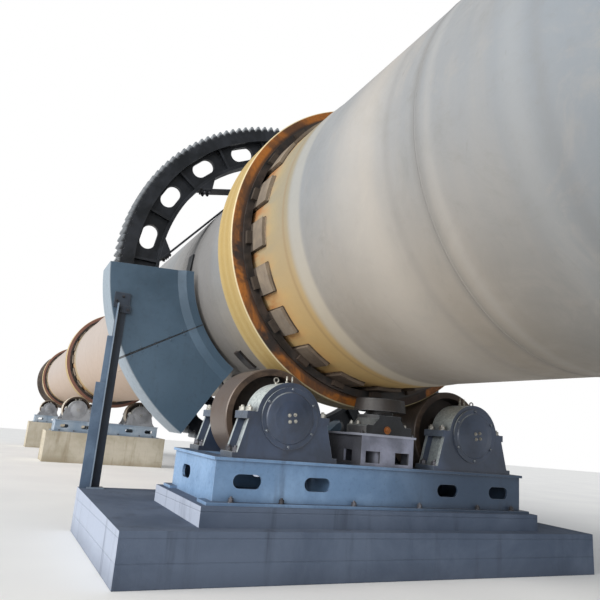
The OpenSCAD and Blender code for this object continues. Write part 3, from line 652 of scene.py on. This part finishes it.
# The far stations take paler copies of the housing and frame paints, which paint in the brighter light of the
# far end
far_lit_copies = {"housing_paint": "far_lit_housing", "frame_paint": "far_lit_frame"}
for name, node in nodes.items():
    look = slots[name]
    if name.endswith(("_2", "_3")):
        look = far_lit_copies.get(look, look)
    if name == "thrust_roller":
        look = "thrust_wheel"
    node.data.materials.clear()
    node.data.materials.append(looks[look])

for name in ("pier_1", "pier_2", "pier_3"):
    worn_corner = nodes[name].modifiers.new("worn_corner", "BEVEL")
    worn_corner.width = 0.018
    worn_corner.segments = 2


# Pieces

# A profile's height lies along the kiln, and its angles start at +Y
AROUND = Matrix(((0, 0, 1, 0), (1, 0, 0, 0), (0, 1, 0, 0), (0, 0, 0, 1)))

# A drawn Z points to +Y, where angles start
UP_TO_SIDE = Matrix(((1, 0, 0, 0), (0, 0, 1, 0), (0, 1, 0, 0), (0, 0, 0, 1)))

# A box's sides, by the order in which its corners are made
BOX_FACES = [(0, 1, 3, 2), (4, 6, 7, 5), (0, 4, 5, 1), (2, 3, 7, 6), (0, 2, 6, 4), (1, 5, 7, 3)]


def along_line(start, direction):
    """The turn that brings a drawn Z onto a line from a start"""
    return Matrix.Translation(Vector(start)) @ Vector(direction).to_track_quat("Z", "Y").to_matrix().to_4x4()


def around(angle, radius, x=0.0):
    """A place round the kiln's axis, at an angle from +Y towards +Z"""
    return Vector((x, radius * math.cos(angle), radius * math.sin(angle)))


class Piece:
    """Collects solids in one mesh, in the kiln's own frame and in metres"""

    def __init__(self, name, look, body="root"):
        self.name = name
        self.look = look
        self.body = body
        self.mesh = bmesh.new()

    def box(self, low, high, turn=Matrix.Identity(4)):
        """A box between two corners, then turned"""
        xs, ys, zs = zip(low, high)
        corners = [self.mesh.verts.new(turn @ Vector((x, y, z))) for x in xs for y in ys for z in zs]
        for face in BOX_FACES:
            self.mesh.faces.new([corners[index] for index in face])

    def skin(self, rings, closed):
        """Faces from each ring of corners to the next, and from the last to the first if closed"""
        following = rings[1:] + rings[:1] if closed else rings[1:]
        for one, two in zip(rings, following):
            for index in range(len(one)):
                after = (index + 1) % len(one)
                self.mesh.faces.new((one[index], two[index], two[after], one[after]))

    def turned(self, profile, turn, sides, start=0.0, sweep=math.tau):
        """Revolves a profile of (radius, height) about the turned frame's Z"""
        whole = abs(sweep - math.tau) < 1e-6
        rings = []
        for step in range(sides if whole else sides + 1):
            angle = start + sweep * step / sides
            places = [(r * math.cos(angle), r * math.sin(angle), height) for r, height in profile]
            rings.append([self.mesh.verts.new(turn @ Vector(place)) for place in places])
        self.skin(rings, whole)
        if not whole:
            self.mesh.faces.new(rings[0])
            self.mesh.faces.new(list(reversed(rings[-1])))

    def rod(self, start, end, radius, sides):
        """A round rod between two places"""
        line = Vector(end) - Vector(start)
        tiny = radius * 0.02
        profile = [(tiny, 0), (radius, 0), (radius, line.length), (tiny, line.length)]
        self.turned(profile, along_line(start, line), sides)

    def hoop(self, at, radius, thickness, sides=20, corners=8):
        """A ring that stands across the kiln"""
        rings = []
        for step in range(sides):
            out = around(math.tau * step / sides, 1.0)
            ring = []
            for corner in range(corners):
                angle = math.tau * corner / corners
                place = Vector(at) + out * (radius + thickness * math.cos(angle))
                ring.append(self.mesh.verts.new(place + Vector((thickness * math.sin(angle), 0, 0))))
            rings.append(ring)
        self.skin(rings, closed=True)

    def bolt(self, at, direction, across, height, washer=True):
        """Hexagon head or nut with its washer and the bolt's end"""
        turn = along_line(at, direction)
        radius = across / math.sqrt(3)
        wide = radius * 1.25
        core = 0.001
        sunk = 0.001
        washer_t = 0.004
        if washer:
            self.turned([(core, -sunk), (wide, -sunk), (wide, washer_t), (core, washer_t)], turn, sides=16)
        low = washer_t - sunk
        top = height + washer_t
        head = [(core, low), (radius, low), (radius, top - 0.003), (radius * 0.86, top), (core, top)]
        self.turned(head, turn, sides=6)
        low = top - sunk
        end = top + height * 0.4
        thread = [(core, low), (radius * 0.5, low), (radius * 0.46, end), (core, end)]
        self.turned(thread, turn, sides=10)

    def done(self, slot=None, smooth=False):
        """Makes the object, and ties it to its body; the slot argument is not used"""
        bmesh.ops.recalc_face_normals(self.mesh, faces=self.mesh.faces)
        self.mesh.transform(KILN)
        data = bpy.data.meshes.new(self.name)
        self.mesh.to_mesh(data)
        self.mesh.free()
        data.materials.append(looks[self.look])
        if smooth:
            for polygon in data.polygons:
                polygon.use_smooth = True
        piece = bpy.data.objects.new(self.name, data)
        bpy.context.scene.collection.objects.link(piece)
        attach(piece, self.body)


def shell_seams():
    """Weld beads round the shell and along it, staggered from plate to plate"""
    beads = Piece("shell_seams", "shell_plate", "drum")
    bead = 0.014
    shortest = 0.3
    gear_clear = 0.3
    first_turn, next_turn = 0.7, 2.4
    station_clear = station_half + station_taper + 0.06
    seam_count = math.ceil((far_x - shortest - seam_x) / plate_l)
    places = [seam_x + plate_l * number for number in range(seam_count)]
    for x in places:
        by_station = min(abs(x - station) for station in stations) <= station_clear
        if not by_station and abs(x - gear_x) > gear_clear:
            profile = [(shell_r - 0.002, x - bead), (shell_r + 0.003, x), (shell_r - 0.002, x + bead)]
            beads.turned(profile, AROUND, sides=96)
    for number, (low, high) in enumerate(zip(places, places[1:])):
        for station in stations:
            if abs(station - low) < station_clear:
                low = station + station_clear
            if abs(station - high) < station_clear:
                high = station - station_clear
        if high - low < shortest or any(low < station < high for station in stations):
            continue
        turn = Matrix.Rotation(first_turn + next_turn * number, 4, "X")
        beads.box((low, -bead * 0.7, shell_r - 0.004), (high, bead * 0.7, shell_r + 0.002), turn)
    beads.done(smooth=True)


def pad_welds():
    """Fillet welds along both sides and the ends of every pad"""
    beads = Piece("pad_welds", "weld", "drum")
    leg = 0.009
    sunk = station_r - 0.003
    proud = station_r + leg
    for station in stations:
        for number in range(pad_count):
            first = math.tau * number / pad_count + pad_first
            for angle, side in ((first, -1), (first + pad_angle, 1)):
                turn = Matrix.Rotation(angle, 4, "X") @ UP_TO_SIDE
                low = (station - pad_half, min(0, side * leg), sunk)
                beads.box(low, (station + pad_half, max(0, side * leg), proud), turn)
            for end in SIDES:
                x = station + end * pad_half
                toe = x + end * leg
                profile = [(sunk, x), (proud, x), (station_r + leg * 0.4, toe), (sunk, toe)]
                beads.turned(profile, AROUND, sides=4, start=first, sweep=pad_angle)
    beads.done()


def shell_patch():
    """A plate welded on the shell between the first riding ring and the gear"""
    patch = Piece("shell_patch_plate", "greased_steel", "drum")
    low, high = 0.93, 1.09
    sunk, proud = shell_r - 0.004, shell_r + 0.034
    first, angle = math.radians(-59), math.radians(11)
    profile = [(sunk, low), (proud, low), (proud, high), (sunk, high)]
    patch.turned(profile, AROUND, sides=6, start=first, sweep=angle)
    patch.done()


def gear_bolts():
    """Bolts where the gear's halves meet, and through the spring plates into the gear's lugs"""
    bolts = Piece("gear_bolts", "dark_bolt", "drum")
    joint_half = 0.042
    for joint in gear_joints:
        for side in SIDES:
            tangent = Vector((0, -side * math.sin(joint), side * math.cos(joint)))
            for radius in (1.71, 1.79, 1.87):
                for offset in (-0.053, 0.053):
                    at = around(joint, radius, gear_x + offset) + tangent * joint_half
                    bolts.bolt(at, tangent, across=0.03, height=0.02)
    for number in range(spring_count):
        angle = math.tau * number / spring_count + spring_first
        outward = around(angle, 1.0)
        back = Vector((0, math.sin(angle), -math.cos(angle)))
        for reach in (0.89, 0.95):
            for offset in (-0.05, 0.05):
                at = outward * spring_in + back * reach + Vector((gear_x + offset, 0, 0))
                bolts.bolt(at, -outward, across=0.032, height=0.02)
    bolts.done(slot="gear_steel")


def end_ring_bolts():
    """Bolts of the seal ring at the feed end and of the nose ring at the discharge end"""
    bolts = Piece("end_ring_bolts", "dark_bolt", "drum")
    seal_count = 36
    seal_r = 1.44
    nose_count = 30
    nose_r = 1.29
    for number in range(seal_count):
        at = around(math.tau * number / seal_count, seal_r, far_x - 0.04)
        bolts.bolt(at, (-1, 0, 0), across=0.03, height=0.02)
    for number in range(nose_count):
        angle = math.tau * number / nose_count
        bolts.bolt(around(angle, nose_r, near_x + 0.06), around(angle, 1.0), across=0.03, height=0.018)
    bolts.done(slot="ring_steel")


def bearing_bolts():
    """Bolts of the split bearing housings and of their end covers"""
    near_rims = Piece("cover_bolts_near", "housing_paint")
    far_rims = Piece("cover_bolts_far", "far_lit_housing")
    dark = Piece("housing_foot_bolts", "dark_bolt")
    bright = Piece("housing_cap_bolts", "bright_bolt")
    rim_r, rim_count = 0.218, 6
    nose_r, nose_count = 0.034, 4
    row_half = 0.075
    ear_y = cap_r + 0.045
    ear_top = roller_at.z + 0.028
    foot_y = 0.395
    foot_top = frame_top + bearing_h * 0.12
    for station in stations:
        rims = near_rims if station == stations[0] else far_rims
        for side, end in CORNERS:
            y = side * roller_at.y
            rim_at = Vector((station + end * (bearing_out + cover_t), y, roller_at.z))
            nose_at = Vector((station + end * (bearing_out + cover_bulge), y, roller_at.z))
            for number in range(rim_count):
                angle = math.tau * (number + 0.5) / rim_count
                rims.bolt(rim_at + around(angle, rim_r), (end, 0, 0), across=0.02, height=0.008, washer=False)
            for number in range(nose_count):
                angle = math.tau * (number + 0.4) / nose_count
                bright.bolt(nose_at + around(angle, nose_r), (end, 0, 0), across=0.02, height=0.011)
            for ear, row in CORNERS:
                x = station + end * bearing_middle + row * row_half
                bright.bolt((x, y + ear * ear_y, ear_top), UP, across=0.046, height=0.03)
                dark.bolt((x, y + ear * foot_y, foot_top), UP, across=0.046, height=0.03)
    for piece in (near_rims, far_rims, dark, bright):
        piece.done()


def bearing_fittings():
    """A lifting eye and two grease pipe stubs on the cap of every roller bearing"""
    fittings = Piece("bearing_fittings", "bright_bolt")
    stubs = ((-0.009, 0.062), (-0.057, 0.071))
    eye_y = 0.083

    def cap_top(offset):
        """Height of the cap, a little sunk, at an offset from the shaft"""
        return roller_at.z + math.sqrt(cap_r ** 2 - offset ** 2) - 0.004

    for station in stations:
        for side, end in CORNERS:
            x = station + end * bearing_middle
            for offset, height in stubs:
                foot = Vector((x, side * (roller_at.y + offset), cap_top(offset)))
                fittings.rod(foot, foot + Vector((0, 0, height)), 0.008, 10)
                fittings.rod(foot, foot + Vector((0, 0, 0.02)), 0.014, 6)
            eye = Vector((x, side * (roller_at.y + eye_y), cap_top(eye_y) + 0.034))
            fittings.rod(eye - Vector((0, 0, 0.036)), eye - Vector((0, 0, 0.02)), 0.012, 10)
            fittings.hoop(eye, 0.019, 0.006)
    fittings.done(smooth=True)


def frame_bolts():
    """Anchor bolts on the foot plates of the base frames"""
    nuts = Piece("anchor_bolts", "dark_bolt")
    foot_x = frame_half_x + frame_foot / 2
    foot_top = frame_bottom + frame_plate
    for station in stations:
        for end in SIDES:
            for y in (-1.35, -0.95, -0.32, 0.32, 0.95, 1.35):
                nuts.bolt((station + end * foot_x, y, foot_top), UP, across=0.034, height=0.026)
    nuts.done(slot="frame_paint")


def thrust_bolts():
    """Bolts of the thrust roller's bearing and of its stand, and the grease plug at the front"""
    dark = Piece("thrust_stand_bolts", "dark_bolt")
    bright = Piece("thrust_flange_bolts", "bright_bolt")
    rusty = Piece("thrust_bearing_plug", "rusty_bolt")
    ring = Vector((thrust_at.x, 0, flange_top))
    bolt_ring = flange_r - 0.033
    corner_y = stand_half_y - 0.005
    for degrees in (10, 40, 70, 100):
        for side in SIDES:
            angle = math.radians(side * degrees)
            at = ring + Vector((math.cos(angle), math.sin(angle), 0)) * bolt_ring
            bright.bolt(at, UP, across=0.026, height=0.018)
    for y in (-corner_y, corner_y):
        for x in (flange_front + 0.02, flange_front + 0.68):
            dark.bolt((x, y, stand_top), UP, across=0.02, height=0.014)
    rusty.bolt((flange_front, 0.02, stand_top + 0.04), (-1, 0, 0), across=0.044, height=0.02)
    for piece in (dark, bright, rusty):
        piece.done(slot="thrust_steel")


def guard_fittings():
    """Small bolts beside the joint of the gear guard, and those of the posts' clips"""
    bolts = Piece("guard_bolts", "guard_paint")
    beside = 0.025
    for radius in (1.52, 1.68, 1.84, 2.0, 2.12):
        for side in SIDES:
            at = around(guard_joint + side * beside / radius, radius, guard_x0)
            bolts.bolt(at, (-1, 0, 0), across=0.014, height=0.005, washer=False)
    bolts.done()
    clips = Piece("post_clip_bolts", "dark_bolt")
    post_y = guard_out * 0.915
    post_top = -guard_out * 0.262
    front = guard_x0 - 0.0003
    for side in SIDES:
        for y, z, depth in ((0.0, 0.085, 0.024), (0.06, 0.03, 0.024), (-0.06, -0.05, 0.036)):
            at = (front - depth, side * (post_y + y), post_top + z)
            clips.bolt(at, (-1, 0, 0), across=0.02, height=0.01)
    clips.done(slot="post_steel")


def drive_bolts():
    """Bolts of the pinion's bearings, and of the reducer's case and its cover"""
    bolts = Piece("drive_bolts", "dark_bolt")
    block_x = gear_half + block_gap + block_w / 2
    ear_y = 0.23
    row_half = 0.06
    split_count = 7
    split_step = 0.14
    split_in = 0.024
    for end in SIDES:
        for ear, row in CORNERS:
            x = gear_x + end * block_x + row * row_half
            bolts.bolt((x, pinion_at.y + ear * ear_y, pinion_at.z + 0.028), UP, across=0.034, height=0.022)
    for number in range(split_count):
        for y in (reducer_high_y - split_in, reducer_low_y + split_in):
            at = (reducer_x + 0.03 + split_step * number, pinion_at.y + y, pinion_at.z + 0.023)
            bolts.bolt(at, UP, across=0.03, height=0.02)
    cover_top = pinion_at.z + reducer_case_r + 0.022
    for share in (0.31, 0.5, 0.69):
        for y in (-0.205, 0.035):
            at = (reducer_x + reducer_l * share, pinion_at.y + y, cover_top)
            bolts.bolt(at, UP, across=0.022, height=0.014)
    bolts.done(slot="drive_paint")


def motor_fins():
    """The motor's cooling fins, the lid of its terminal box and its fan cowl with the grille's rings"""
    motor = Piece("motor_fins", "drive_paint")
    fin_count = 36
    fin_start = motor_at.x + 0.07
    fin_end = motor_at.x + motor_l - 0.05
    fin_half = 0.003
    axis = Matrix.Translation((0, motor_at.y, motor_at.z))
    for number in range(fin_count):
        angle = math.tau * number / fin_count
        # The top and the bottom stay without fins
        if abs(math.sin(angle)) < 0.8:
            turn = axis @ Matrix.Rotation(angle, 4, "X") @ UP_TO_SIDE
            motor.box((fin_start, -fin_half, motor_r - 0.004), (fin_end, fin_half, motor_r + 0.022), turn)
    lid = Vector((0.26, 0.24, 0.012))
    lid_at = motor_at + Vector((0.17, -lid.y / 2, motor_r + 0.11))
    motor.box(lid_at, lid_at + lid)
    cowl = motor_at.x + motor_l
    cowl_r = motor_r + 0.006
    cowl_end = cowl + 0.124
    grille = cowl + 0.112
    grille_r = 0.09
    shroud = [
        (motor_r - 0.02, cowl - 0.02), (cowl_r, cowl - 0.02), (cowl_r, cowl + 0.1),
        (motor_r - 0.02, cowl_end), (grille_r, cowl_end), (grille_r, grille), (motor_r - 0.03, grille),
    ]
    motor.turned(shroud, axis @ AROUND, sides=40)
    ring_count = 4
    ring_step = 0.02
    ring_half = 0.003
    low, high = grille + 0.001, grille + 0.007
    for number in range(ring_count):
        middle = ring_step * (number + 1)
        inner, outer = middle - ring_half, middle + ring_half
        motor.turned([(inner, low), (outer, low), (outer, high), (inner, high)], axis @ AROUND, sides=32)
    motor.done()


shell_seams()
pad_welds()
shell_patch()
gear_bolts()
end_ring_bolts()
bearing_bolts()
bearing_fittings()
frame_bolts()
thrust_bolts()
guard_fittings()
drive_bolts()
motor_fins()


# Camera, floor and light

def make_camera():
    """The photo's camera, low at the left of the discharge end; its angles are in radians"""
    at = KILN @ Vector((-4.714, 2.9128, -1.7039))
    yaw = -0.4448
    pitch = 0.2233
    roll = 0.0866
    focal_px = 586.93
    frame_px = 600
    centre_up_px = 1
    ahead = Vector((math.cos(yaw) * math.cos(pitch), math.sin(yaw) * math.cos(pitch), math.sin(pitch)))
    level = Vector((math.sin(yaw), -math.cos(yaw), 0))
    up = level.cross(ahead)
    right = math.cos(roll) * level + math.sin(roll) * up
    up = math.cos(roll) * up - math.sin(roll) * level
    turn = KILN.to_3x3() @ Matrix((right, up, -ahead)).transposed()
    data = bpy.data.cameras.new("camera")
    data.sensor_width = 36
    data.lens = focal_px / frame_px * data.sensor_width
    data.shift_y = -centre_up_px / frame_px
    data.clip_end = 500
    camera = bpy.data.objects.new("camera", data)
    camera.matrix_world = Matrix.Translation(at) @ turn.to_4x4()
    bpy.context.scene.collection.objects.link(camera)
    bpy.context.scene.camera = camera


def make_floor():
    """Plain pale ground, which belongs to the stage and not to the kiln"""
    look = Look("floor", specular=0.2)
    cloud = look.noise(look.place, 0.5, 3, 0.5)
    colour = look.mix(look.step(cloud, 0.3, 0.7), rgb(236, 236, 236), rgb(242, 242, 241))
    look.finish(colour, 0.8)
    data = bpy.data.meshes.new("floor")
    reach = 160
    corners = [(-reach, -reach, 0), (reach, -reach, 0), (reach, reach, 0), (-reach, reach, 0)]
    data.from_pydata(corners, [], [(0, 1, 2, 3)])
    data.materials.append(look.material)
    floor = bpy.data.objects.new("floor", data)
    bpy.context.scene.collection.objects.link(floor)


def make_world():
    """A pale sky that the camera sees as plain white"""
    world = bpy.data.worlds.new("world")
    bpy.context.scene.world = world
    world.use_nodes = True
    tree = world.node_tree
    light = tree.nodes["Background"]
    light.inputs["Color"].default_value = (0.94, 0.97, 1.0, 1)
    light.inputs["Strength"].default_value = 0.45
    seen = tree.nodes.new("ShaderNodeBackground")
    seen.inputs["Color"].default_value = (1, 1, 1, 1)
    seen.inputs["Strength"].default_value = 1.0
    path = tree.nodes.new("ShaderNodeLightPath")
    mix = tree.nodes.new("ShaderNodeMixShader")
    tree.links.new(path.outputs["Is Camera Ray"], mix.inputs[0])
    tree.links.new(light.outputs[0], mix.inputs[1])
    tree.links.new(seen.outputs[0], mix.inputs[2])
    tree.links.new(mix.outputs[0], tree.nodes["World Output"].inputs["Surface"])


def make_light(name, source, strength, softness, colour):
    """A far-off soft light that shines from the source's direction; softness is in degrees"""
    data = bpy.data.lights.new(name, "SUN")
    data.energy = strength
    data.angle = math.radians(softness)
    data.color = colour
    light = bpy.data.objects.new(name, data)
    light.location = Vector(source) * 30
    light.rotation_mode = "QUATERNION"
    light.rotation_quaternion = Vector(source).to_track_quat("Z", "Y")
    bpy.context.scene.collection.objects.link(light)


make_camera()
make_floor()
make_world()
make_light("left_windows", source=(-0.1, 1.0, 0.4), strength=3.4, softness=50, colour=(1.0, 0.98, 0.95))
make_light("left_front", source=(-0.75, 0.62, 0.22), strength=1.1, softness=30, colour=(0.96, 0.98, 1.0))

bpy.context.scene.view_settings.view_transform = "Standard"
